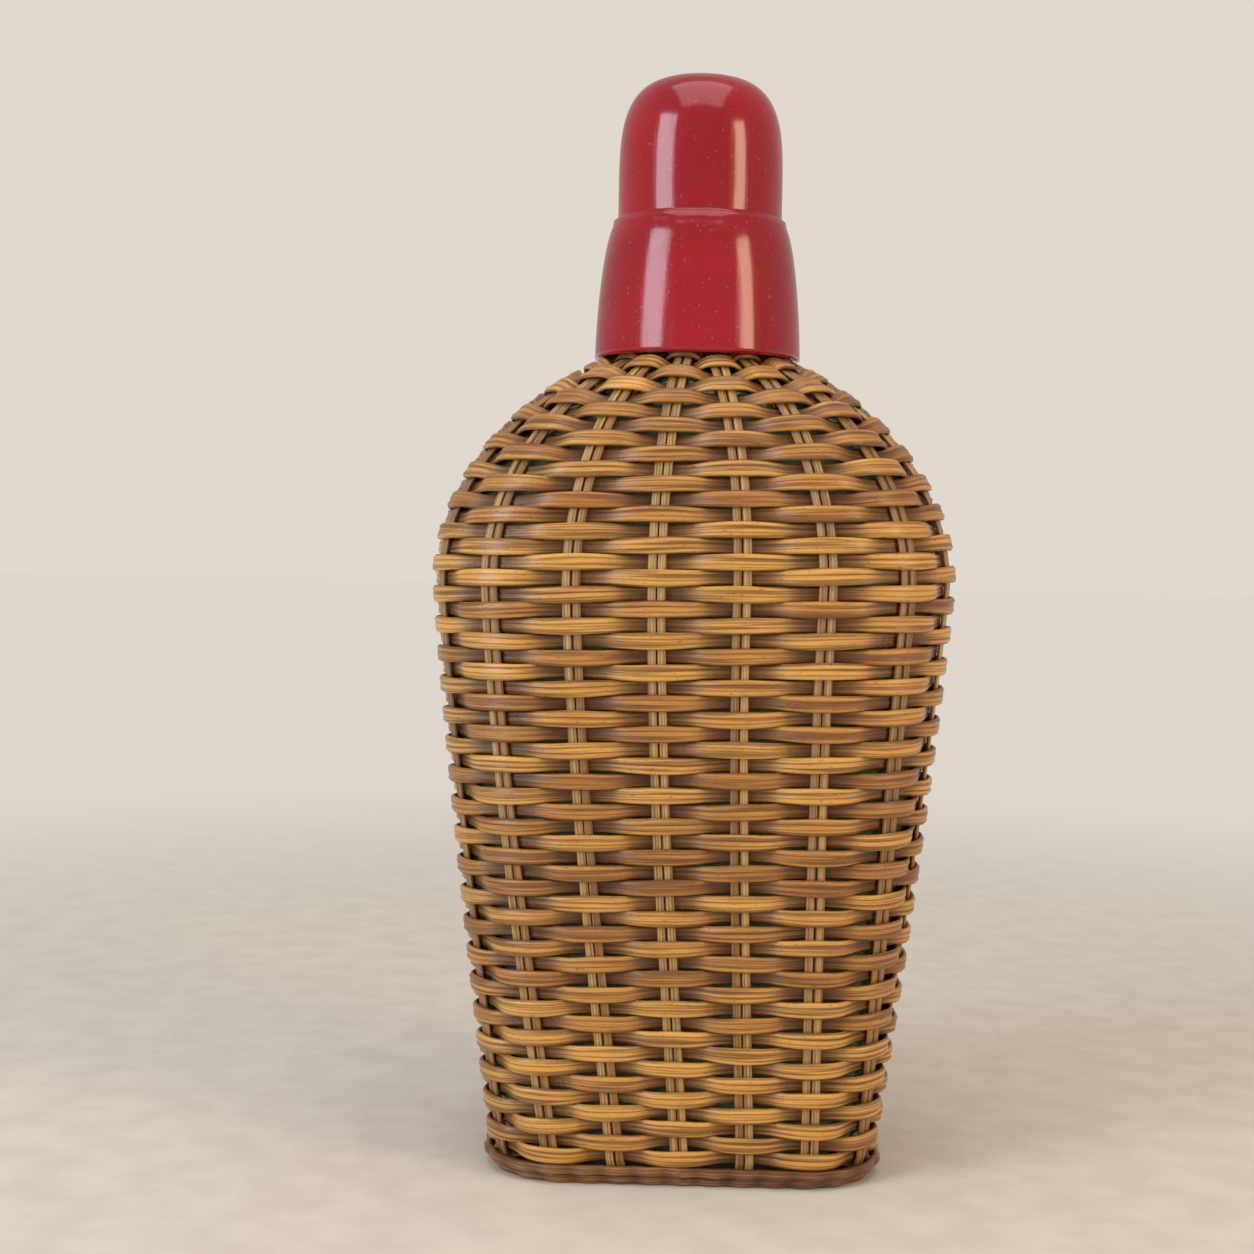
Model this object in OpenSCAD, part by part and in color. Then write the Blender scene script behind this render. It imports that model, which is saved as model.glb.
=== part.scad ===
// Wicker-covered picnic flask: a blown glass bottle in a woven cane jacket,
// closed by a cork and covered by a stepped plastic drinking cup.
// Origin in the middle of the base on the table, broad front towards -Y, neck up.

/* [Basket form, measured on the line of the stakes] */
// Half width at the foot
foot_hw = 52.5; // [44:0.5:60]
// Half depth at the foot
foot_hd = 35; // [28:0.5:42]
// Half width at the belly, the widest row
belly_hw = 71.2; // [62:0.2:80]
// Half depth at the belly
belly_hd = 45; // [36:0.5:54]
// Height of the belly
belly_z = 166; // [140:1:185]
// Height of the shoulder above the belly
shoulder_h = 63.5; // [54:1:76]
// Fullness of the shoulder seen from the front, smaller is fuller
shoulder_pow_w = 1.44; // [1.1:0.02:1.8]
// Fullness of the shoulder seen from the side
shoulder_pow_d = 0.9; // [0.7:0.02:1.2]
// Corner radius at the foot as a share of the half depth
foot_corner = 0.56; // [0.4:0.02:0.8]
// Corner radius at the belly as a share of the half depth
belly_corner = 0.68; // [0.5:0.02:0.9]
// How far the stakes draw in where they turn under the base
foot_tuck = 6; // [3:0.5:8]
// Height over which they turn
foot_round = 7; // [6:0.5:12]

/* [Canes] */
// Number of stake ends round the wall
stake_ends = 18; // [18:1:18]
// Width of one cane of a stake pair
stake_w = 2.4; // [1.8:0.1:2.8]
// Thickness of a stake cane
stake_t = 1.2; // [1:0.1:1.6]
// Gap between the two canes of a pair
pair_gap = 0.25; // [0.15:0.05:0.6]
// Drift of the stakes round the wall from foot to belly, in stake spacings
stake_drift = -0.42; // [-0.6:0.02:0.6]
// Width of a weaver cane
weaver_w = 4; // [3:0.1:4.2]
// Thickness of a weaver cane
weaver_t = 1.1; // [0.9:0.1:1.4]
// Distance from one row of weaving to the next
row_pitch = 4.4; // [4.3:0.05:5.2]
// Air left between a weaver and the stake it crosses
weave_clear = 0.5; // [0.45:0.05:0.7]

/* [Glass bottle] */
// Air between the weaving and the glass
glass_clear = 0.3; // [0.2:0.05:0.8]
// Wall of the body
glass_wall = 3.2; // [2.4:0.1:4.5]
// Thickness of the bottom
glass_bottom = 6; // [4:0.5:9]
// Outside radius of the neck
glass_neck_r = 16.5; // [15.5:0.1:16.8]
// Radius of the bore at the mouth
mouth_r = 11; // [9:0.1:12.5]
// Radius of the bore at the foot of the neck
throat_r = 10; // [8:0.1:11]
// Radius of the lip ring
lip_r = 17.9; // [17:0.1:19]
// Height of the lip ring
lip_h = 7; // [4:0.5:9]
// Length of the neck above the shoulder
neck_len = 52; // [48:0.5:56]

/* [Neck of the basket] */
// Radius of the stake line on the neck
neck_r = 17.6; // [17.6:0.1:18.2]
// Height of the stake ends above the shoulder
stake_rise = 38; // [30:0.5:38]
// Turns of the binding cane round the neck
binding_turns = 6; // [4:1:6]
// Height of the rolled border that covers the stake ends
border_h = 6; // [4:0.5:6]
// Outside radius of the rolled border, which the cup slides over
border_r = 21.35; // [20.5:0.05:21.4]

/* [Cork] */
// Length of the cork inside the mouth
cork_in = 20; // [14:0.5:28]
// Height of the cork above the mouth
cork_out = 12; // [8:0.5:14]
// Air between cork and bore
cork_clear = 0.2; // [0.15:0.05:0.4]

/* [Drinking cup] */
// Outside radius at the rim
cup_rim_r = 29.35; // [28.6:0.05:31]
// Outside radius of the narrow upper part
cup_top_r = 23.4; // [23.35:0.05:25]
// Wall of the cup
cup_wall = 1.7; // [1.2:0.1:1.75]
// Height of the wide skirt
skirt_h = 39; // [32:0.5:44]
// Whole height of the cup
cup_h = 80; // [78:0.5:92]
// Radius of the hollow fillet at the step
step_fillet = 1.2; // [0.8:0.1:2]
// Height of the domed top
dome_h = 33; // [26:0.5:36]
// Air between the rim and the weaving that it stands on
cup_seat = 0.3; // [0.2:0.05:0.6]

/* [Foot border] */
// Height of one band of the foot border
foot_band_h = 2.7; // [2:0.1:2.8]
// Thickness of a foot band
foot_band_t = 2.6; // [1.8:0.1:3]

/* [Hidden] */
$fn = 96;

golden_cane = [0.66, 0.43, 0.13];
pale_cane = [0.72, 0.5, 0.2];
dark_cane = [0.5, 0.3, 0.09];
bottle_green = [0.25, 0.42, 0.3];
cork_brown = [0.72, 0.55, 0.36];
cup_red = [0.72, 0.04, 0.12];

// Five pairs of canes run under the base from front to back, four from side to side
front_ends = 5;
side_ends = 4;
belly_fill = 1.12;
round_early = 1.15;
shoulder_top = belly_z + shoulder_h;
weave_off = stake_t / 2 + weaver_t / 2 + weave_clear;
weave_out = weave_off + weaver_t / 2;
glass_off = weave_out + glass_clear;
stake_top = shoulder_top + stake_rise;
mouth_z = shoulder_top + neck_len;
base_z = stake_t + 0.4;
base_wave = stake_t / 2 + 0.1;
base_off = foot_tuck + 0.5;

// Level of the basket: a number m runs up the wall, in millimetres to the belly,
// then in degrees of the shoulder arc, then in millimetres up the neck.
// Each level is [half width, half depth, corner radius, height].
function rise(m) = 1 - pow(1 - max(0, m) / belly_z, belly_fill);
function tuck(m) = foot_tuck * pow(max(0, 1 - m / foot_round), 2);
function mix(a, b, t) = a + (b - a) * t;
function wall_level(m) =
    let (w = mix(foot_hw, belly_hw, rise(m)) - tuck(m),
         d = mix(foot_hd, belly_hd, rise(m)) - tuck(m))
    [w, d, d * mix(foot_corner, belly_corner, max(0, m) / belly_z), m];
function shoulder_level(a) =
    let (fw = pow(cos(a), shoulder_pow_w), fd = pow(cos(a), shoulder_pow_d),
         w = mix(neck_r, belly_hw, fw), d = mix(neck_r, belly_hd, fd))
    [w, d, min(w, d) * min(1, mix(round_early, belly_corner, fd)), belly_z + shoulder_h * sin(a)];
function level(m) =
    m < belly_z ? wall_level(m)
    : m < belly_z + 90 ? shoulder_level(m - belly_z)
    : [neck_r, neck_r, neck_r, shoulder_top + m - belly_z - 90];

// Point of a rounded rectangle, s millimetres from the middle of its front,
// counter-clockwise, with the direction that faces outwards there
function quarter(l) = l[0] + l[1] - 2 * l[2] + PI * l[2] / 2;
function corner_point(u, l) =
    let (w = l[0], d = l[1], r = l[2], a = (u - (w - r)) / r * 180 / PI)
    u < w - r ? [u, -d, 0, -1]
    : a < 90 ? [w - r + r * sin(a), r - d - r * cos(a), sin(a), -cos(a)]
    : [w, u - (w - r) - PI * r / 2 + r - d, 1, 0];
function outline_point(f, l) =
    let (q = quarter(l), s = (f - floor(f)) * 4, k = floor(s), u = (s - k) * q,
         p = corner_point(k % 2 == 0 ? u : q - u, l),
         mx = k < 2 ? 1 : -1, my = k == 1 || k == 2 ? -1 : 1)
    [p[0] * mx, p[1] * my, p[2] * mx, p[3] * my];

// Point of the basket wall at level m and share f of the way round, moved off the
// stake line by off; side moves it along the wall in plan
function wall_point(f, m, off, side = 0) =
    let (e = 0.5, lo = outline_point(f, level(m - e)), hi = outline_point(f, level(m + e)),
         p = outline_point(f, level(m)),
         dn = (hi[0] - lo[0]) * p[2] + (hi[1] - lo[1]) * p[3],
         dz = level(m + e)[3] - level(m - e)[3], n = norm([dn, dz]))
    [p[0] + p[2] * off * dz / n - p[3] * side,
     p[1] + p[3] * off * dz / n + p[2] * side,
     level(m)[3] - off * dn / n];

function spacing(m) = 4 * quarter(level(m)) / stake_ends;
function speed(m) =
    let (lo = level(m - 0.5), hi = level(m + 0.5))
    norm([(hi[0] + hi[1] - lo[0] - lo[1]) / 2, hi[3] - lo[3]]);
function drift(m) = stake_drift * sin(90 * min(1, max(0, m) / belly_z));

// Levels of all rows of weaving, from the foot border to the neck
first_row = 2 * foot_band_h + 0.8 + row_pitch / 2;
last_row = belly_z + 79;
rows = [for (m = first_row; m < last_row; m = m + row_pitch / speed(m)) m];
tilt_from = belly_z + 6;
flat_rows = len([for (m = rows) if (m < tilt_from) m]);
zone = ceil(flat_rows / 3);
collar_rows = len([for (m = rows) if (m < belly_z + 66) m]);

// Corners of one row's zigzag: flat over a stake, straight from stake to stake
pair_w = 2 * stake_w + pair_gap;
function row_shares(m) = (pair_w / 2 + 0.25) / spacing(m);
function row_corners(m, parity) =
    let (u = row_shares(m))
    [for (i = [0 : stake_ends - 1]) let (o = (i + parity) % 2 == 0 ? 1 : -1)
        each [[i - u, o], [i + u, o], [i + 0.5, 0]]];

// A level row is an upright band with vertical walls
module flat_row(m, parity) {
    l = level(m);
    corners = row_corners(m, parity);
    function track(thick) = [for (c = corners)
        let (p = outline_point((c[0] + drift(m)) / stake_ends, l),
             off = c[1] * weave_off + thick)
        [p[0] + p[2] * off, p[1] + p[3] * off]];
    translate([0, 0, l[3] - weaver_w / 2])
        linear_extrude(weaver_w)
            difference() {
                polygon(track(weaver_t / 2));
                polygon(track(-weaver_t / 2));
            }
}

// A row on the shoulder leans with the wall
module leaning_row(m, parity) {
    h = weaver_w / 2 / speed(m);
    corners = row_corners(m, parity);
    n = len(corners);
    points = [for (c = corners) let (f = (c[0] + drift(m)) / stake_ends, o = c[1] * weave_off)
        each [wall_point(f, m - h, o - weaver_t / 2), wall_point(f, m - h, o + weaver_t / 2),
              wall_point(f, m + h, o + weaver_t / 2), wall_point(f, m + h, o - weaver_t / 2)]];
    ring_solid(points, n, true);
}

// Solid through n rings of four points each, closed on itself or with two ends
module ring_solid(points, n, closed) {
    last = closed ? n - 1 : n - 2;
    sides = [for (i = [0 : last], j = [0 : 3])
        let (a = 4 * i, b = 4 * ((i + 1) % n), k = (j + 1) % 4)
        each [[a + j, a + k, b + k], [a + j, b + k, b + j]]];
    ends = closed ? [] : [[3, 2, 1], [3, 1, 0],
        [4 * n - 4, 4 * n - 3, 4 * n - 2], [4 * n - 4, 4 * n - 2, 4 * n - 1]];
    polyhedron(points, concat(sides, ends));
}

// Every second row of a stretch of rows: parity 0 is one weaver, 1 the other
module weaver(from, to, parity) {
    for (i = [from : to - 1])
        if (i % 2 == parity)
            if (rows[i] < tilt_from) flat_row(rows[i], parity);
            else leaning_row(rows[i], parity);
}

// Levels at which a stake cane is bent, from the foot to its top
stake_levels = concat(
    [foot_round * 0.35, foot_round * 0.7, foot_round],
    [for (k = [0.22, 0.45, 0.66, 0.84]) belly_z * k],
    [for (a = [0 : 10 : 80]) belly_z + a],
    [belly_z + 86, belly_z + 94, belly_z + 90 + stake_rise]
);

// Frame of a stake cane: where it is, across its width and out of its face
function wall_frame(end, m, side) =
    let (f = (end + drift(m)) / stake_ends, p = wall_point(f, m, 0, side),
         q = wall_point(f, m, 1, side), t = outline_point(f, level(m)))
    [p, [-t[3], t[2], 0], q - p];
function frame_ring(fr) =
    let (c = fr[0], w = fr[1] * stake_w / 2, n = fr[2] * stake_t / 2)
    [c - w - n, c - w + n, c + w + n, c + w - n];

// Where a stake end turns under the base
function base_point(end) =
    let (p = outline_point(end / stake_ends, level(0)))
    [p[0] - p[2] * base_off, p[1] - p[3] * base_off];

// A stake cane runs down one wall, through the crossed canes of the base and up the
// other. end_a and end_b are its stake numbers, crossings the lines that it passes.
module stake_cane(end_a, end_b, side, crossings, parity) {
    pa = base_point(end_a);
    pb = base_point(end_b);
    run = (pb - pa) / norm(pb - pa);
    across = [run[1], -run[0], 0];
    down = [for (i = [len(stake_levels) - 1 : -1 : 0]) wall_frame(end_a, stake_levels[i], side)];
    up = [for (m = stake_levels) wall_frame(end_b, m, -side)];
    flip = sign(across * down[0][1]);
    base = [for (i = [0 : len(crossings) - 1])
        let (at = pa + run * (crossings[i] - pa * run),
             z = base_z + base_wave * ((i + parity) % 2 == 0 ? 1 : -1))
        for (e = [-1, 1])
            [concat(at + run * e * pair_w / 2, z) + across * side * flip,
             across * flip, [0, 0, -1]]];
    points = [for (fr = concat(down, base)) each frame_ring(fr),
              for (fr = up) each frame_ring([fr[0], -fr[1], fr[2]])];
    ring_solid(points, len(points) / 4, false);
}

front_lines = [for (i = [0 : front_ends - 1]) base_point(i - 2)[0]];
side_lines = [for (i = [0 : side_ends - 1]) base_point(i + 3)[1]];

module front_stake(i) {
    color(pale_cane)
        for (e = [-1, 1])
            stake_cane(i - 2, 11 - i, e * (stake_w + pair_gap) / 2, side_lines, i);
}

module side_stake(i) {
    color(pale_cane)
        for (e = [-1, 1])
            stake_cane(15 - i, i + 3, e * (stake_w + pair_gap) / 2, front_lines, i + 1);
}

// Two bands of thicker cane outside the stakes; the lower one is what the flask stands on
module foot_border() {
    color(dark_cane)
        for (i = [0, 1]) {
            z = i * (foot_band_h + 0.15);
            l = level(z + foot_band_h);
            inner = stake_t / 2 + weave_clear;
            translate([0, 0, z])
                linear_extrude(foot_band_h)
                    difference() {
                        outline_shape(l, inner + foot_band_t);
                        outline_shape(l, inner);
                    }
        }
}

// Rounded rectangle of a level, moved outwards, with true arcs at its corners
module outline_shape(l, off) {
    r = l[2] + off;
    w = l[0] + off;
    d = l[1] + off;
    square([2 * w, 2 * (d - r)], center = true);
    square([2 * (w - r), 2 * d], center = true);
    for (x = [-1, 1], y = [-1, 1])
        translate([x * (w - r), y * (d - r)]) circle(r);
}

// Cane wound round the stakes on the neck
binding_from = 6;
binding_pitch = (stake_rise - binding_from - weaver_w - 1) / binding_turns;
module neck_binding() {
    turn_steps = 16;
    steps = turn_steps * binding_turns;
    stakes_r = norm([neck_r + stake_t / 2, pair_w / 2]);
    ri = stakes_r / cos(180 / turn_steps) + 0.15;
    ro = ri + weaver_t;
    points = [for (i = [0 : steps])
        let (a = 360 * i / turn_steps,
             z = shoulder_top + binding_from + binding_pitch * i / turn_steps)
        each [[ri * cos(a), ri * sin(a), z], [ro * cos(a), ro * sin(a), z],
              [ro * cos(a), ro * sin(a), z + weaver_w], [ri * cos(a), ri * sin(a), z + weaver_w]]];
    color(dark_cane) ring_solid(points, steps + 1, false);
}
echo(binding_gap = binding_pitch - weaver_w);

// Stake ends rolled over and bound into a thick ring under the lip of the glass
module neck_border() {
    inner = glass_neck_r + glass_clear;
    round = 2;
    color(golden_cane)
        translate([0, 0, stake_top + 0.3])
            rotate_extrude()
                hull_ring(inner, border_r, border_h, round);
}

// Section of a ring with rounded outer corners
module hull_ring(r0, r1, h, round) {
    translate([r0, 0]) square([r1 - r0 - round, h]);
    translate([r0, round]) square([r1 - r0, h - 2 * round]);
    for (z = [round, h - round]) translate([r1 - round, z]) circle(round);
}

// Outline of the glass, off further in than the stake line; near the neck the
// offset turns downwards with the surface
function glass_level(z, off) =
    z < belly_z
    ? let (l = wall_level(max(z, foot_round))) [l[0] - off, l[1] - off, l[2] - off / 2, z]
    : let (t = (z - belly_z) / (shoulder_h - off), a = asin(min(1, t)),
           l = shoulder_level(a), c = cos(a))
      [l[0] - off * c, l[1] - off * c, max(l[2] - off * c, 1), z];

function loft_points(levels, n) = [for (l = levels) for (i = [0 : n - 1])
    let (p = outline_point(i / n, l)) [p[0], p[1], l[3]]];
module loft(levels, n) {
    k = len(levels);
    sides = [for (j = [0 : k - 2], i = [0 : n - 1])
        let (a = j * n + i, b = j * n + (i + 1) % n)
        each [[a, a + n, b + n], [a, b + n, b]]];
    caps = [for (i = [0 : n - 1]) let (j = (i + 1) % n, t = (k - 1) * n)
        each [[k * n, i, j], [k * n + 1, t + j, t + i]]];
    middles = [[0, 0, levels[0][3]], [0, 0, levels[k - 1][3]]];
    polyhedron(concat(loft_points(levels, n), middles), concat(sides, caps));
}

glass_z = base_z + base_wave + stake_t / 2 + glass_clear;
glass_steps = [for (a = [0 : 10 : 80]) belly_z + (shoulder_h - glass_off) * sin(a)];
function shell_levels(off, from, round) = concat(
    [for (a = [0, 30, 60]) let (l = glass_level(from, off), e = round * (1 - sin(a)))
        [l[0] - e, l[1] - e, max(l[2] - e, 1), from + round * (1 - cos(a))]],
    [for (z = [from + round, 50, 100]) glass_level(z, off)],
    [for (z = glass_steps) glass_level(z - (off - glass_off) * sin(90 * (z - belly_z)
        / shoulder_h), off)]
);
neck_foot = shoulder_top - glass_off;

module glass_bottle() {
    outer = shell_levels(glass_off, glass_z, 7);
    inner = shell_levels(glass_off + glass_wall, glass_z + glass_bottom, 6);
    neck_z = neck_foot - 2;
    color(bottle_green)
        difference() {
            union() {
                loft(concat(outer, [[glass_neck_r - 0.1, glass_neck_r - 0.1, glass_neck_r - 0.1,
                    neck_foot]]), 28);
                translate([0, 0, neck_z]) cylinder(h = mouth_z - neck_z, r = glass_neck_r);
                translate([0, 0, mouth_z - lip_h]) rotate_extrude()
                    hull_ring(mouth_r, lip_r, lip_h, 1.4);
            }
            loft(inner, 24);
            translate([0, 0, neck_foot - 10])
                cylinder(h = mouth_z - neck_foot + 11, r1 = throat_r, r2 = mouth_r);
        }
}

// Radius of the bore at a height
function bore_r(z) = mix(throat_r, mouth_r, (z - neck_foot + 10) / (mouth_z - neck_foot + 11));

module cork_stopper() {
    bevel = 1;
    bottom = mouth_z - cork_in;
    top = mouth_z + cork_out;
    r0 = bore_r(bottom) - cork_clear;
    r1 = bore_r(top) - cork_clear;
    color(cork_brown)
        rotate_extrude()
            polygon([[0, bottom], [r0 - bevel, bottom], [r0, bottom + bevel],
                     [r1, top - bevel], [r1 - bevel, top], [0, top]]);
}

// Outer or inner line of the cup, from the rim up to the middle of the dome
function cup_line(rim, top, skirt, fillet, height, dome) =
    let (p = 1.55, c = fillet / (rim - top), k1 = pow(1 - c * c, 1 / p))
    concat(
        [for (i = [0 : 12]) let (k = k1 * sin(7.5 * i)) [top + (rim - top) * sqrt(1 - pow(k, p)), skirt * k]],
        [for (a = [22.5 : 22.5 : 90])
            [top + fillet - fillet * sin(a), skirt * k1 + fillet - fillet * cos(a)]],
        [for (i = [0 : 11]) let (t = sin(7.5 * i))
            [top * pow(1 - pow(t, 3.5), 0.3), height - dome + dome * t]],
        [[0, height]]
    );

// The inner edge of the rim stands on the outer face of the weaving, which leans out
// from the stake line by a share of its height there
face_lean = 0.3;
seat_r = cup_rim_r - cup_wall - face_lean * weave_out;
cup_arc = acos(pow((seat_r - neck_r) / (belly_hw - neck_r), 1 / shoulder_pow_w));
cup_z = shoulder_level(cup_arc)[3] + weave_out + cup_seat;
module drinking_cup() {
    outer = cup_line(cup_rim_r, cup_top_r, skirt_h, step_fillet, cup_h, dome_h);
    inner = cup_line(cup_rim_r - cup_wall, cup_top_r - cup_wall, skirt_h - cup_wall,
        step_fillet, cup_h - cup_wall, dome_h);
    color(cup_red)
        translate([0, 0, cup_z])
            rotate_extrude()
                polygon(concat(outer, [for (i = [len(inner) - 1 : -1 : 0]) inner[i]]));
}

glass_bottle();
cork_stopper();
drinking_cup();
front_stake(0);  // front_stake_1
front_stake(1);  // front_stake_2
front_stake(2);  // front_stake_3
front_stake(3);  // front_stake_4
front_stake(4);  // front_stake_5
side_stake(0);  // side_stake_1
side_stake(1);  // side_stake_2
side_stake(2);  // side_stake_3
side_stake(3);  // side_stake_4
foot_border();
color(golden_cane) weaver(0, zone, 0);  // lower_weaver_a
color(dark_cane) weaver(0, zone, 1);  // lower_weaver_b
color(golden_cane) weaver(zone, 2 * zone, 0);  // middle_weaver_a
color(dark_cane) weaver(zone, 2 * zone, 1);  // middle_weaver_b
color(golden_cane) weaver(2 * zone, flat_rows, 0);  // upper_weaver_a
color(dark_cane) weaver(2 * zone, flat_rows, 1);  // upper_weaver_b
color(golden_cane) weaver(flat_rows, collar_rows, 0);  // shoulder_weaver_a
color(dark_cane) weaver(flat_rows, collar_rows, 1);  // shoulder_weaver_b
union() {  // collar_weaver
    color(golden_cane) weaver(collar_rows, len(rows), 0);
    color(golden_cane) weaver(collar_rows, len(rows), 1);
}
neck_binding();
neck_border();
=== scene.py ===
import math
import random

import bmesh
import bpy
from mathutils import Matrix, Vector


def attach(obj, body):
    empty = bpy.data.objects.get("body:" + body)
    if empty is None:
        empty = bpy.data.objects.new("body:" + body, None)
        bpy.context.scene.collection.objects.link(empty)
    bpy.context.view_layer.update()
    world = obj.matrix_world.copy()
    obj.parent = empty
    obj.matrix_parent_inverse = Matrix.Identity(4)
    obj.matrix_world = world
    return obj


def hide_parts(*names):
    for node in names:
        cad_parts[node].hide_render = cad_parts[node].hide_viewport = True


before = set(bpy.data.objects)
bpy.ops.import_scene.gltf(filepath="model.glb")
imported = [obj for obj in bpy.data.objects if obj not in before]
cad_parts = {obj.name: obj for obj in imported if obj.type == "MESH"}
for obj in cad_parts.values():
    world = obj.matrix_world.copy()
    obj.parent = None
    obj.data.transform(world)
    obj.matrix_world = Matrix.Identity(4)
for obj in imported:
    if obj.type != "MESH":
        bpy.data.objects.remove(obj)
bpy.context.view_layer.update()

random.seed(5)


# The glass flask comes first, because the jacket is woven round it. It is blown in a
# mould from clear green glass, flat-sided, with a thick base and a ring at the mouth.
# Its own shape is the wall of the basket, drawn in. Lengths are mm until a mesh is made.
foot_half_width = 52.5
foot_half_depth = 35
foot_corner = 0.56
foot_tuck = 6
foot_round = 7
belly_half_width = 71.2
belly_half_depth = 45
belly_corner = 0.68
belly_fill = 1.12
belly_z = 166
shoulder_height = 63.5
shoulder_width_power = 1.44
shoulder_depth_power = 0.9
neck_radius = 17.6
neck_corner = 1.15
neck_level = belly_z + 90
shoulder_top = belly_z + shoulder_height


def mix(a, b, t):
    return a + (b - a) * t


def wall_level(m):
    """Half width, half depth, corner radius and height at level m of the basket wall.
    m counts mm up to the belly, then degrees of the shoulder's arc, then mm of neck."""
    if m < belly_z:
        share = max(0, m) / belly_z
        rise = 1 - (1 - share) ** belly_fill
        tuck = foot_tuck * max(0, 1 - m / foot_round) ** 2
        width = mix(foot_half_width, belly_half_width, rise) - tuck
        depth = mix(foot_half_depth, belly_half_depth, rise) - tuck
        return width, depth, depth * mix(foot_corner, belly_corner, share), m
    if m < neck_level:
        turn = math.radians(m - belly_z)
        deep = math.cos(turn) ** shoulder_depth_power
        width = mix(neck_radius, belly_half_width, math.cos(turn) ** shoulder_width_power)
        depth = mix(neck_radius, belly_half_depth, deep)
        corner = min(width, depth) * min(1, mix(neck_corner, belly_corner, deep))
        return width, depth, corner, belly_z + shoulder_height * math.sin(turn)
    return neck_radius, neck_radius, neck_radius, shoulder_top + m - neck_level


def outline(f, m):
    """Point of the wall at share f of the way round from the middle of the front, and
    the level direction that faces outwards there."""
    width, depth, corner, z = wall_level(m)
    flat = width - corner
    quarter = flat + depth - corner + math.pi * corner / 2
    s = (f % 1) * 4
    k = int(s)
    u = (s - k) * quarter
    if k % 2:
        u = quarter - u
    a = (u - flat) / corner
    if a < 0:
        x, y, nx, ny = u, -depth, 0, -1
    elif a < math.pi / 2:
        x, y = flat + corner * math.sin(a), corner - depth - corner * math.cos(a)
        nx, ny = math.sin(a), -math.cos(a)
    else:
        x, y, nx, ny = width, u - flat - math.pi * corner / 2 + corner - depth, 1, 0
    mirror_x = 1 if k < 2 else -1
    mirror_y = -1 if k in (1, 2) else 1
    return Vector((x * mirror_x, y * mirror_y, z)), Vector((nx * mirror_x, ny * mirror_y, 0))


def wall_point(f, m, off=0, side=0):
    """Point of the wall moved outwards by off and along the row by side, and the
    direction straight out of the wall."""
    p, n = outline(f, m)
    rise = outline(f, m + 0.5)[0] - outline(f, m - 0.5)[0]
    out = (n * rise.z - Vector((0, 0, rise.dot(n)))).normalized()
    return p + out * off + Vector((-n.y, n.x, 0)) * side, out


class Wire:
    """A socket of a material's nodes, on which sums can be written as Python does."""

    def __init__(self, tree, socket):
        self.tree = tree
        self.socket = socket

    def node(self, kind, inputs=(), out=0, **settings):
        made = self.tree.nodes.new(kind)
        for name, value in settings.items():
            setattr(made, name, value)
        for key, value in dict(inputs).items():
            if isinstance(value, Wire):
                self.tree.links.new(value.socket, made.inputs[key])
            else:
                made.inputs[key].default_value = value
        return Wire(self.tree, made.outputs[out])

    def math(self, operation, other=0.0, third=0.0):
        return self.node("ShaderNodeMath", {0: self, 1: other, 2: third}, operation=operation)

    def __add__(self, other):
        return self.math("ADD", other)

    def __sub__(self, other):
        return self.math("SUBTRACT", other)

    def __mul__(self, other):
        return self.math("MULTIPLY", other)

    def __pow__(self, other):
        return self.math("POWER", other)

    def __rsub__(self, other):
        return self.math("MULTIPLY_ADD", -1.0, other)

    __radd__ = __add__
    __rmul__ = __mul__

    def clamp(self):
        return self.node("ShaderNodeClamp", {0: self})

    def step(self, low, high):
        inputs = {0: self, 1: low, 2: high}
        return self.node("ShaderNodeMapRange", inputs, interpolation_type="SMOOTHSTEP")

    def blend(self, a, b):
        return self.node("ShaderNodeMix", {0: self, 6: a, 7: b}, out=2, data_type="RGBA")

    def noise(self, scale, detail=3.0):
        return self.node("ShaderNodeTexNoise", {"Vector": self, "Scale": scale, "Detail": detail})

    def attribute(self, name):
        return self.node("ShaderNodeAttribute", out=2, attribute_name=name)

    def join(self, x, y, z):
        return self.node("ShaderNodeCombineXYZ", {0: x, 1: y, 2: z})

    def bump(self, strength, distance):
        inputs = {"Height": self, "Strength": strength, "Distance": distance}
        return self.node("ShaderNodeBump", inputs)


def new_material(name):
    mat = bpy.data.materials.new(name)
    mat.use_nodes = True
    tree = mat.node_tree
    place = tree.nodes.new("ShaderNodeTexCoord")
    return mat, tree.nodes["Principled BSDF"], Wire(tree, place.outputs["Object"])


def plug(shader, **sockets):
    for name, value in sockets.items():
        key = name.replace("_", " ")
        if isinstance(value, Wire):
            value.tree.links.new(value.socket, shader.inputs[key])
        else:
            shader.inputs[key].default_value = value


def finish_piece(name, mesh, material, body, node):
    work = bmesh.new()
    work.from_mesh(mesh)
    bmesh.ops.recalc_face_normals(work, faces=work.faces)
    work.to_mesh(mesh)
    work.free()
    mesh.shade_smooth()
    mesh.materials.append(material)
    piece = bpy.data.objects.new(name, mesh)
    bpy.context.scene.collection.objects.link(piece)
    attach(piece, body)
    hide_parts(node)


glass_steps = 128
glass_inset = 2.6
glass_inner_inset = 5.8
outer_levels = [8] + list(range(14, belly_z, 8)) + list(range(belly_z, 246, 5))
inner_levels = list(range(236, belly_z, -5)) + list(range(belly_z - 2, 12, -8))
# Rings of the neck, the lip and the bore, each by its radius and height
neck_line = [(16.5, 228), (16.5, 240), (16.5, 255), (16.5, 273)]
lip_line = [(17.2, 274.3), (17.9, 275.2), (17.9, 280), (17, 281.3), (12, 281.4)]
bore_line = [(11, 280.4), (10.6, 262), (10, 230)]


def circle(radius, z, steps=glass_steps):
    turns = [2 * math.pi * i / steps for i in range(steps)]
    return [Vector((radius * math.sin(a), -radius * math.cos(a), z)) for a in turns]


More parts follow.
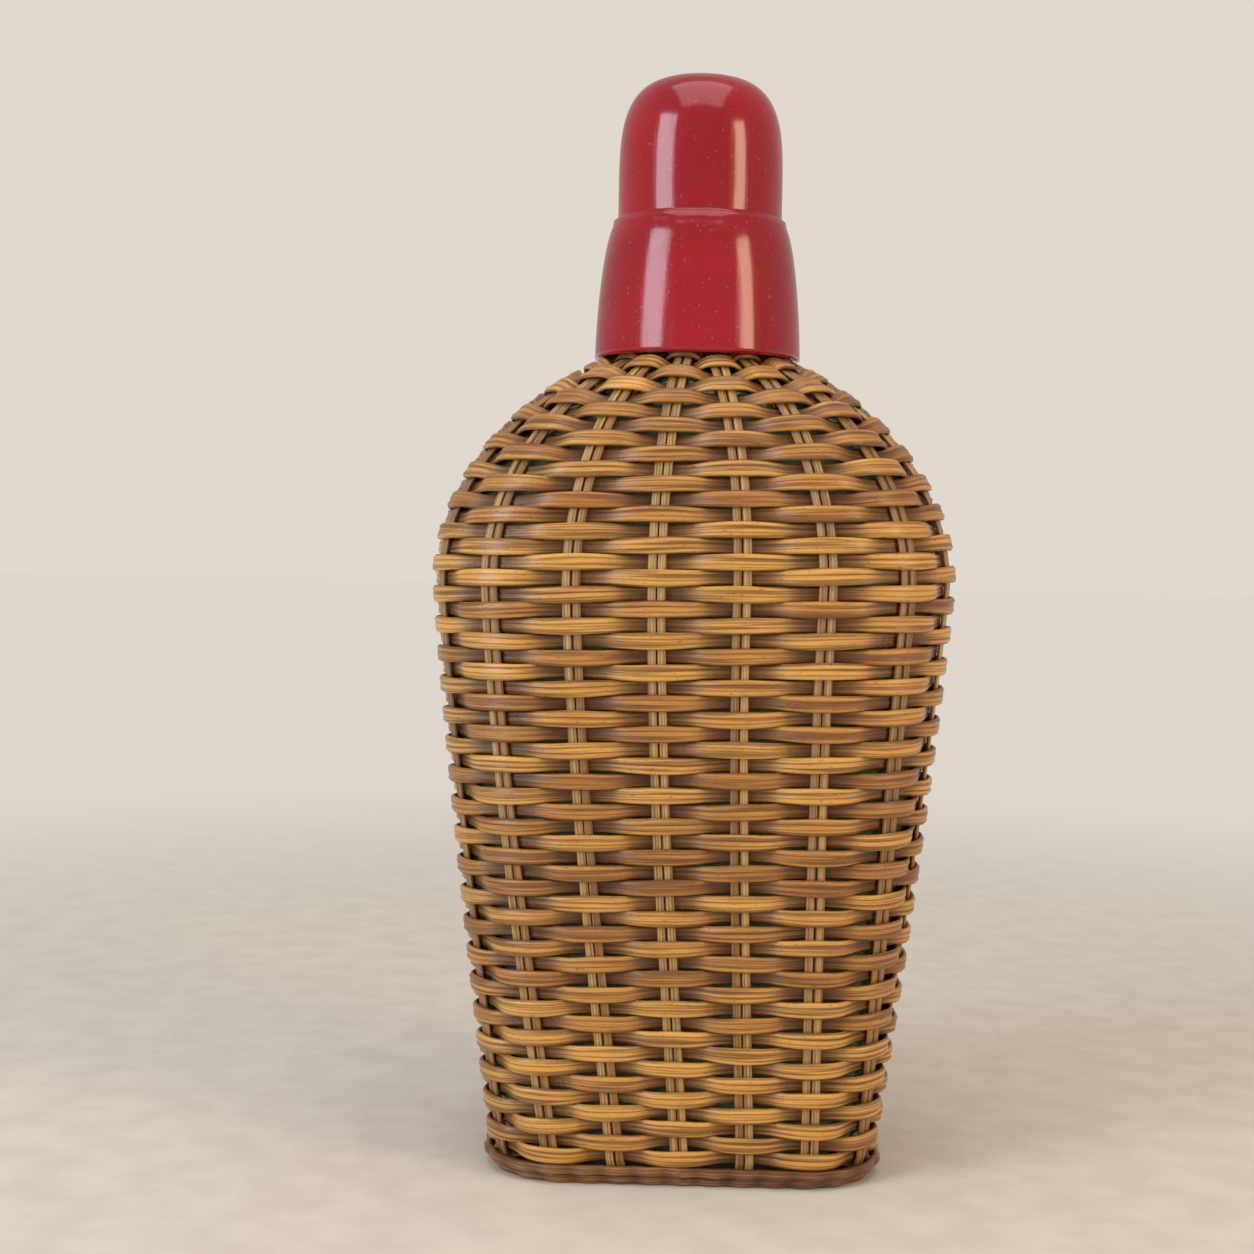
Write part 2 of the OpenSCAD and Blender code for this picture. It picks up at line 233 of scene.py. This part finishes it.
def skin(name, rings, material, body, node):
    """A closed shape through a line of rings, with a fan to a pole at both ends."""
    verts = [p / 1000 for ring in rings for p in ring]
    n = len(rings[0])
    faces = []
    for k in range(len(rings) - 1):
        for i in range(n):
            j = (i + 1) % n
            faces.append((k * n + i, k * n + j, (k + 1) * n + j, (k + 1) * n + i))
    for ring, base in ((rings[0], 0), (rings[-1], (len(rings) - 1) * n)):
        pole = len(verts)
        verts.append(sum(ring, Vector()) / n / 1000)
        for i in range(n):
            faces.append((base + i, base + (i + 1) % n, pole))
    mesh = bpy.data.meshes.new(name)
    mesh.from_pydata(verts, [], faces)
    finish_piece(name, mesh, material, body, node)


def glass_ring(m, inset):
    return [wall_point(i / glass_steps, m, -inset)[0] for i in range(glass_steps)]


def flat_ring(m, inset, shrink, z):
    return [Vector((p.x * shrink, p.y * shrink, z)) for p in glass_ring(m, inset)]


bottle_glass, shader, place = new_material("bottle_glass")
seeds = place.noise(260.0, 2.0)
wave = place.noise(35.0, 2.0)
tint = wave.step(0.3, 0.7).blend((0.16, 0.30, 0.17, 1), (0.24, 0.40, 0.24, 1))
bump = (wave + seeds * 0.1).bump(0.2, 0.001)
plug(shader, Base_Color=tint, Roughness=seeds.step(0.45, 0.75) * 0.12 + 0.05, Normal=bump)
plug(shader, IOR=1.5, Transmission_Weight=0.6)
rings = [flat_ring(8, inset=3, shrink=0.93, z=3.3)]
rings += [glass_ring(m, glass_inset) for m in outer_levels]
rings += [circle(r, z) for r, z in neck_line + lip_line + bore_line]
rings += [glass_ring(m, glass_inner_inset) for m in inner_levels]
rings += [flat_ring(12, inset=6, shrink=0.9, z=9.3)]
skin("glass_bottle_blown", rings, bottle_glass, "flask", "glass_bottle")


# The weaving. Two flat split canes chase each other round the flask from the foot to the
# neck, each outside one stake and inside the next, and rise by two rows in a turn. They
# are packed down on one another while damp.
stake_ends = 18
stake_lean = 0.42


def drift(m):
    return -stake_lean * math.sin(math.pi / 2 * min(1, max(0, m) / belly_z))


# Ribs run along the outer face of a cane and wander slowly from side to side, in the
# mesh and as darker lines in the colour alike.
rib_turn = math.pi * 3
rib_depth = 0.24
rib_sway = 1.3
rib_sway_rate = 0.035
rib_sway_spread = 50
# Painted shade: the dark red-brown a cane is given where it lies under a stake or against the glass.
crevice_shade = (0.05, 0.014, 0.004, 1)


def cane_material(name, dark, mid, light):
    """Varnished split cane: fibres, streaks, pores and ribs that follow the cane, a tone
    of its own for each cane, and painted red-brown shade where it dives under a stake."""
    mat, shader, place = new_material(name)
    along = place.attribute("along")
    across = place.attribute("across")
    tone = place.attribute("tone")
    lift = place.attribute("lift")
    fibre = place.join(along * 0.09, across * 5.5, tone * 40.0).noise(1.6, 5.0)
    streak = place.join(along * 0.02, across * 1.7, tone * 23.0).noise(1.3, 2.0)
    cloud = place.join(along * 0.05, across * 0.4, tone * 11.0).noise(1.2, 3.0)
    pore = place.join(along * 0.5, across * 3.0, tone * 17.0).noise(1.5, 2.0).step(0.64, 0.74)
    value = (fibre * 0.55 + streak * 0.6 + cloud * 0.5 + tone * 0.5 - 0.58).clamp()
    base = value.step(0.12, 0.85).blend(mid, light)
    base = ((1.0 - streak.step(0.36, 0.55)) * 0.65).blend(base, dark)
    base = (pore * 0.55).blend(base, dark)
    sway = (along * rib_sway_rate + tone * rib_sway_spread).math("SINE") * rib_sway
    groove = (across * rib_turn + sway).math("COSINE") * -1.0
    base = ((groove - 0.25).clamp() * 0.75).blend(base, dark)
    # Painted shade: the less freely a cane lies, the nearer its colour comes to the crevice colour.
    base = ((1.0 - lift).clamp() ** 1.5 * 0.9).blend(base, crevice_shade)
    bump = (fibre * 0.6 + streak * 0.8 - pore * 0.5).bump(0.55, 0.0005)
    plug(shader, Base_Color=base, Roughness=fibre * 0.22 + 0.27, Normal=bump)
    plug(shader, Coat_Weight=lift * 0.35, Coat_Roughness=0.3)
    return mat


def cane_rings(stations, tone, steps=18):
    """Rings of points round a cane. A station is its middle, half-width and
    half-thickness vectors and how far it lies free, which sets its painted shade; the
    section is a flat oval."""
    oval = 0.75
    rings = []
    along = 0.0
    last = stations[0][0]
    for centre, side, face, lift in stations:
        along += (centre - last).length
        last = centre
        sway = rib_sway * math.sin(along * rib_sway_rate + tone * rib_sway_spread)
        ring = []
        for i in range(steps):
            a = 2 * math.pi * i / steps
            x = math.copysign(abs(math.cos(a)) ** oval, math.cos(a))
            y = math.copysign(abs(math.sin(a)) ** oval, math.sin(a))
            if y > 0.2:
                y *= 1 + rib_depth * math.cos(rib_turn * x + sway)
            # Painted shade: the face turned to the glass and the edges get less lift, so a darker
            # colour.
            free = lift * (0.55 + 0.45 * max(0, y))
            ring.append((centre + side * x + face * y, along, x, free))
        rings.append(ring)
    return rings, tone


def cane_piece(name, canes, material, node, closed=False):
    verts = []
    faces = []
    marks = []
    for rings, tone in canes:
        start = len(verts)
        n = len(rings[0])
        for ring in rings:
            for p, along, across, free in ring:
                verts.append(p / 1000)
                marks.append((along, across, tone, free))
        for k in range(len(rings) if closed else len(rings) - 1):
            a = start + k * n
            b = start + (k + 1) % len(rings) * n
            for i in range(n):
                j = (i + 1) % n
                faces.append((a + i, a + j, b + j, b + i))
        if not closed:
            faces.append(tuple(range(start + n - 1, start - 1, -1)))
            faces.append(tuple(range(len(verts) - n, len(verts))))
    mesh = bpy.data.meshes.new(name)
    mesh.from_pydata(verts, [], faces)
    for i, key in enumerate(("along", "across", "tone", "lift")):
        layer = mesh.attributes.new(key, "FLOAT", "POINT")
        layer.data.foreach_set("value", [mark[i] for mark in marks])
    finish_piece(name, mesh, material, "flask", node)


row_pitch = 4.2
first_level = 8.0
top_level = 246
weave_offset = 1.65
weaver_half_thick = 0.8
weaver_fullness = 0.13
weave_snap = 1.5
steps_per_stake = 12
seam_steps = 8
seam_before_stake = 0.3
second_seam_shift = 0.35
slope_rows = 12
wander = 0.04
collar_rows = 2

levels = [first_level]
while levels[-1] < top_level:
    m = levels[-1]
    climb = outline(0, m + 0.5)[0] - outline(0, m - 0.5)[0]
    levels.append(m + row_pitch / climb.length)
rows = len(levels)


def row_level(k):
    i = min(rows - 2, int(k))
    return levels[i] + (levels[i + 1] - levels[i]) * (k - i)


def weaver_row(k):
    """One turn of a cane from behind a stake at the back. q counts the stakes from the
    front; the turn starts one row low, ends one row high and is level in front."""
    parity = k % 2
    slope = min(1, k / slope_rows, (rows - 1 - k) / slope_rows)
    start = parity - stake_ends / 2 - seam_before_stake
    tone = random.random()
    stations = []
    for i in range(stake_ends * steps_per_stake + seam_steps):
        q = start + i / steps_per_stake
        turned = q + seam_before_stake - second_seam_shift * parity
        index = k + slope * turned / (stake_ends / 2)
        m = row_level(index)
        f = (q + drift(m)) / stake_ends
        swing = math.tanh(weave_snap * math.cos(math.pi * (q + parity))) / math.tanh(weave_snap)
        middle, out = wall_point(f, m, weave_offset * swing)
        up = wall_point(f, row_level(index + 0.5))[0] - wall_point(f, row_level(index - 0.5))[0]
        near_stake = 0.5 + 0.5 * math.cos(2 * math.pi * q)
        half = 0.5 * (1.0 + weaver_fullness * near_stake * (swing > 0))
        wobble = 0.9 * math.sin(q * 1.7 + tone * 30) + 0.7 * math.sin(q * 4.1 + tone * 70)
        # Painted shade: the cane's colour darkens where it dives under a stake.
        lift = 0.12 + 0.88 * max(0, min(1, 0.55 + 0.6 * swing))
        stations.append((middle + up * wander * wobble, up * half, out * weaver_half_thick, lift))
    return cane_rings(stations, tone)


golden = cane_material(
    "golden_cane", (0.095, 0.027, 0.004, 1), (0.38, 0.145, 0.018, 1), (0.70, 0.36, 0.065, 1)
)
zones = [("lower", 0, 14), ("middle", 14, 28), ("upper", 28, 40), ("shoulder", 40, rows - collar_rows)]
for zone, start, stop in zones:
    for parity in (0, 1):
        canes = [weaver_row(k) for k in range(start, stop) if k % 2 == parity]
        node = f"{zone}_weaver_{'ab'[parity]}"
        cane_piece(node + "_cane", canes, golden, node)
collar = [weaver_row(k) for k in range(rows - collar_rows, rows)]
cane_piece("collar_weaver_cane", collar, golden, "collar_weaver")


# The stakes. Nine pairs of flat, paler canes lie crossed under the base and turn up the
# wall as eighteen stake ends. The weaving holds them and the neck binding gathers them.
stake_half_width = 1.2
stake_half_thick = 0.6
stake_from_pair_middle = 1.325
pair_half_width = 2.5
base_z = 1.6
base_wave = 0.7
base_inset = 6.5
foot_levels = [2.45, 4.9]
wall_levels = list(range(foot_round, belly_z, 5)) + list(range(belly_z, neck_level, 5))
neck_levels = [256, 266, 276, 286, 293.5]
pale = cane_material(
    "pale_cane", (0.15, 0.06, 0.014, 1), (0.40, 0.20, 0.05, 1), (0.66, 0.42, 0.14, 1)
)


def base_point(end):
    p, n = outline(end / stake_ends, 0)
    return p - n * base_inset


def stake_climb(end, side, sign):
    stations = []
    for m in foot_levels + wall_levels + neck_levels:
        f = (end + drift(m)) / stake_ends
        p, out = wall_point(f, m, 0, side * sign)
        n = outline(f, m)[1]
        across = Vector((-n.y, n.x, 0)) * stake_half_width * sign
        # Painted shade: a lift of 0.75 darkens the stakes a little all along the wall.
        stations.append((p, across, out * stake_half_thick, 0.75))
    return stations


def stake(end_a, end_b, side, lines, axis, parity):
    """One cane of a pair: down the wall at end_a, over and under the canes of the base,
    whose lines it crosses along the axis, and up the wall at end_b."""
    tone = random.random()
    stations = stake_climb(end_a, side, 1)[::-1]
    a = base_point(end_a)
    run = (base_point(end_b) - a).normalized()
    across = Vector((run.y, -run.x, 0))
    if across.dot(stations[0][1]) < 0:
        across = -across
    for i, line in enumerate(lines):
        at = a + run * ((line - a[axis]) / run[axis])
        at.z = base_z + (base_wave if (i + parity) % 2 == 0 else -base_wave)
        for e in (-1, 1):
            p = at + run * e * pair_half_width + across * side
            # Painted shade: under the base the lift of 0.6 darkens the stakes more.
            stations.append((p, across * stake_half_width, Vector((0, 0, -stake_half_thick)), 0.6))
    stations += stake_climb(end_b, side, -1)
    return cane_rings(stations, tone, 12)


def stake_pair(name, end_a, end_b, lines, axis, parity):
    sides = (-stake_from_pair_middle, stake_from_pair_middle)
    pair = [stake(end_a, end_b, side, lines, axis, parity) for side in sides]
    cane_piece(name + "_pair", pair, pale, name)


front_lines = [base_point(i - 2)[0] for i in range(5)]
side_lines = [base_point(i + 3)[1] for i in range(4)]
for i in range(5):
    stake_pair(f"front_stake_{i + 1}", i - 2, 11 - i, side_lines, 1, i)
for i in range(4):
    stake_pair(f"side_stake_{i + 1}", 15 - i, i + 3, front_lines, 0, i + 1)


# The foot border. Two bands of thicker dark cane are locked round the stake ends before
# the weaving starts; the flask stands on the lower one.
band_middles = (1.38, 4.2)
band_half_height = 1.36
band_half_thick = 1.15
band_offset = 1.85
band_twist = 0.35
band_twists = 36
band_steps = 288
band_above = 1.4
browned = cane_material(
    "dark_cane", (0.08, 0.026, 0.006, 1), (0.24, 0.092, 0.018, 1), (0.46, 0.22, 0.052, 1)
)
bands = []
for z in band_middles:
    tone = random.random()
    stations = []
    for i in range(band_steps):
        p, n = outline(i / band_steps, z + band_above)
        bulge = math.cos(2 * math.pi * band_twists * i / band_steps)
        middle = p + n * (band_offset + band_twist * bulge)
        middle.z = z
        height = Vector((0, 0, band_half_height))
        # Painted shade: the band darkens where its twist turns it in towards the wall.
        stations.append((middle, height, n * band_half_thick, 0.55 + 0.25 * bulge))
    bands.append(cane_rings(stations, tone))
cane_piece("foot_border_bands", bands, browned, "foot_border", closed=True)


# The neck binding. One dark cane is wound six times round the tops of the stakes and
# pinches them to the glass. The cup hides it until it is lifted.
binding_turns = 6
binding_steps = 48
binding_pitch = 4.5
binding_radius = 19.45
binding_from = 237.6
binding_half_height = 2.05
binding_half_thick = 0.55
stations = []
for i in range(binding_turns * binding_steps + 1):
    a = 2 * math.pi * i / binding_steps
    n = Vector((math.sin(a), -math.cos(a), 0))
    centre = n * binding_radius + Vector((0, 0, binding_from + binding_pitch * i / binding_steps))
    # Painted shade: a lift of 0.9 darkens the binding a little all round.
    stations.append((centre, Vector((0, 0, binding_half_height)), n * binding_half_thick, 0.9))
binding = [cane_rings(stations, 0.4)]
cane_piece("neck_binding_cane", binding, browned, "neck_binding")


# The neck border. Under the lip of the glass the ends of the canes are rolled over into
# one closed golden ring. The swelling at each stake is not modelled; shade between the
# stakes is painted instead.
roll_steps = 144
roll_radius = 19.1
roll_z = 270.8
roll_half_height = 2.9
roll_half_thick = 2.2
stations = []
for i in range(roll_steps):
    a = 2 * math.pi * i / roll_steps
    n = Vector((math.sin(a), -math.cos(a), 0))
    centre = n * roll_radius + Vector((0, 0, roll_z))
    # Painted shade: the ring darkens between the stakes, so that it looks swollen at each stake.
    lift = 0.65 + 0.35 * math.cos(stake_ends * a)
    stations.append((centre, Vector((0, 0, roll_half_height)), n * roll_half_thick, lift))
roll = [cane_rings(stations, 0.7)]
cane_piece("neck_border_roll", roll, golden, "neck_border", closed=True)


# The cork is punched from bark and slightly tapered, with dark pores and growth lines.
# It is pressed into the bore of the glass and stands proud of the lip.
cork_steps = 64
cork_line = [(9.4, 261.6), (10.1, 262.3), (10.5, 276), (10.75, 281)]
cork_line += [(10.9, 292.3), (10.3, 293.3), (6, 293.45)]
cork, shader, place = new_material("cork")
grain = place.noise(420.0, 5.0)
pores = place.noise(240.0, 2.0).step(0.6, 0.68)
base = grain.step(0.3, 0.7).blend((0.46, 0.27, 0.13, 1), (0.66, 0.45, 0.25, 1))
base = (pores * 0.8).blend(base, (0.13, 0.055, 0.02, 1))
bump = (grain - pores * 1.5).bump(0.6, 0.0006)
plug(shader, Base_Color=base, Roughness=grain * 0.2 + 0.7, Normal=bump)
rings = [circle(r, z, cork_steps) for r, z in cork_line]
skin("cork_stopper_bark", rings, cork, "stopper", "cork_stopper")


# The drinking cup pushes over the neck upside down. It is one glossy crimson moulding
# with a flared skirt, a step and a domed end, worn by fine scratches and some dust.
cup_z = 229.1
cup_height = 80
cup_wall = 1.7
cup_steps = 160
cup_top_radius = 23.4
skirt_flare = 5.95
skirt_height = 39
step_fillet = 1.2
dome_z = 47
dome_height = 33
pole_radius = 0.5
cup_plastic, shader, place = new_material("cup_plastic")
cloud = place.noise(28.0, 3.0)
scratch = place.node("ShaderNodeMapping", {0: place, 3: (900.0, 900.0, 40.0)}).noise(1.0, 4.0)
dust = place.noise(900.0, 1.0).step(0.70, 0.76)
base = cloud.step(0.3, 0.7).blend((0.25, 0.001, 0.008, 1), (0.33, 0.002, 0.012, 1))
base = (dust * 0.12).blend(base, (0.7, 0.5, 0.45, 1))
rough = scratch.step(0.5, 0.8) * 0.12 + cloud * 0.08 + 0.1
plug(shader, Base_Color=base, Roughness=rough, Normal=(scratch + dust).bump(0.06, 0.0004))
plug(shader, Coat_Weight=0.2, Coat_Roughness=0.06)
outside = []
for i in range(24):
    k = i / 24
    outside.append((cup_top_radius + skirt_flare * math.sqrt(1 - k ** 1.55), skirt_height * k))
for i in range(5):
    a = math.pi / 2 * i / 4
    r = cup_top_radius + step_fillet * (1 - math.sin(a))
    outside.append((r, skirt_height + step_fillet * (1 - math.cos(a))))
for i in range(29):
    t = math.sin(math.pi / 2 * i / 28)
    r = max(pole_radius, cup_top_radius * (1 - t ** 3.5) ** 0.3)
    outside.append((r, dome_z + dome_height * t))
inside = [(max(pole_radius, r - cup_wall), min(z, cup_height - cup_wall)) for r, z in outside]
rings = [circle(r, cup_z + z, cup_steps) for r, z in outside[::-1] + inside]
skin("drinking_cup_moulding", rings, cup_plastic, "cup", "drinking_cup")


# The floor is a plain pale surface that turns into the pale background with distance,
# so that no edge shows behind the flask.
floor_half = 6
backdrop = (0.725, 0.676, 0.607, 1)
black = (0, 0, 0, 1)
mesh = bpy.data.meshes.new("floor")
corners = [(-floor_half, -floor_half, 0), (floor_half, -floor_half, 0)]
corners += [(floor_half, floor_half, 0), (-floor_half, floor_half, 0)]
mesh.from_pydata(corners, [], [(0, 1, 2, 3)])
floor = bpy.data.objects.new("floor", mesh)
bpy.context.scene.collection.objects.link(floor)
plaster, shader, place = new_material("floor")
mesh.materials.append(plaster)
speck = place.noise(60.0, 4.0)
away = place.node("ShaderNodeVectorMath", {0: place}, out=1, operation="LENGTH").step(0.15, 0.9)
base = speck.step(0.3, 0.7).blend((0.66, 0.60, 0.53, 1), (0.72, 0.66, 0.585, 1))
plug(shader, Base_Color=away.blend(base, black), Roughness=speck * 0.1 + 0.6)
plug(shader, Emission_Color=away.blend(black, backdrop), Emission_Strength=1.0)
plug(shader, Specular_IOR_Level=0.0)


# The light is that of the photo: a tall cool window on the left, a warm reflection on
# the right and a soft ceiling. The room is pale to the camera and dimmer as a light.
lit_point = Vector((0, 0, 0.16))


def lamp(name, spot, width, height, power, colour):
    data = bpy.data.lights.new(name, "AREA")
    data.shape = "RECTANGLE"
    data.size = width
    data.size_y = height
    data.energy = power
    data.color = colour
    made = bpy.data.objects.new(name, data)
    made.location = spot
    made.rotation_euler = (lit_point - Vector(spot)).to_track_quat("-Z", "Y").to_euler()
    bpy.context.scene.collection.objects.link(made)


lamp("window_left", (-0.9, -0.7, 0.5), 0.5, 0.9, 9, (0.82, 0.88, 1))
lamp("warm_right", (0.9, -0.6, 0.45), 0.3, 0.7, 5, (1, 0.74, 0.48))
lamp("soft_top", (0, -0.3, 1.2), 1, 1, 5, (1, 0.96, 0.9))
world = bpy.data.worlds.new("room")
bpy.context.scene.world = world
world.use_nodes = True
tree = world.node_tree
fill = tree.nodes["Background"]
fill.inputs["Color"].default_value = (0.9, 0.88, 0.85, 1)
fill.inputs["Strength"].default_value = 0.5
plain = tree.nodes.new("ShaderNodeBackground")
plain.inputs["Color"].default_value = (0.74, 0.69, 0.62, 1)
path = tree.nodes.new("ShaderNodeLightPath")
swap = tree.nodes.new("ShaderNodeMixShader")
tree.links.new(path.outputs["Is Camera Ray"], swap.inputs[0])
tree.links.new(fill.outputs[0], swap.inputs[1])
tree.links.new(plain.outputs[0], swap.inputs[2])
tree.links.new(swap.outputs[0], tree.nodes["World Output"].inputs["Surface"])


# The camera stands 0.59 m in front, a little above the belly, and is aimed, tilted and
# rolled as the outline of the flask in the photo asks.
camera_place = (0, -0.59, 0.1806)
camera_yaw = math.radians(1.82)
camera_pitch = math.radians(-2.77)
camera_roll = math.radians(1.05)
sensor_width = 36
photo_width = 1254
focal_pixels = 2042
lens = bpy.data.cameras.new("camera")
lens.sensor_width = sensor_width
lens.lens = sensor_width * focal_pixels / photo_width
camera = bpy.data.objects.new("camera", lens)
pose = Matrix.Translation(camera_place) @ Matrix.Rotation(camera_yaw, 4, "Z")
pose = pose @ Matrix.Rotation(math.pi / 2 + camera_pitch, 4, "X")
camera.matrix_world = pose @ Matrix.Rotation(camera_roll, 4, "Z")
bpy.context.scene.collection.objects.link(camera)
bpy.context.scene.camera = camera
bpy.context.scene.view_settings.view_transform = "Standard"
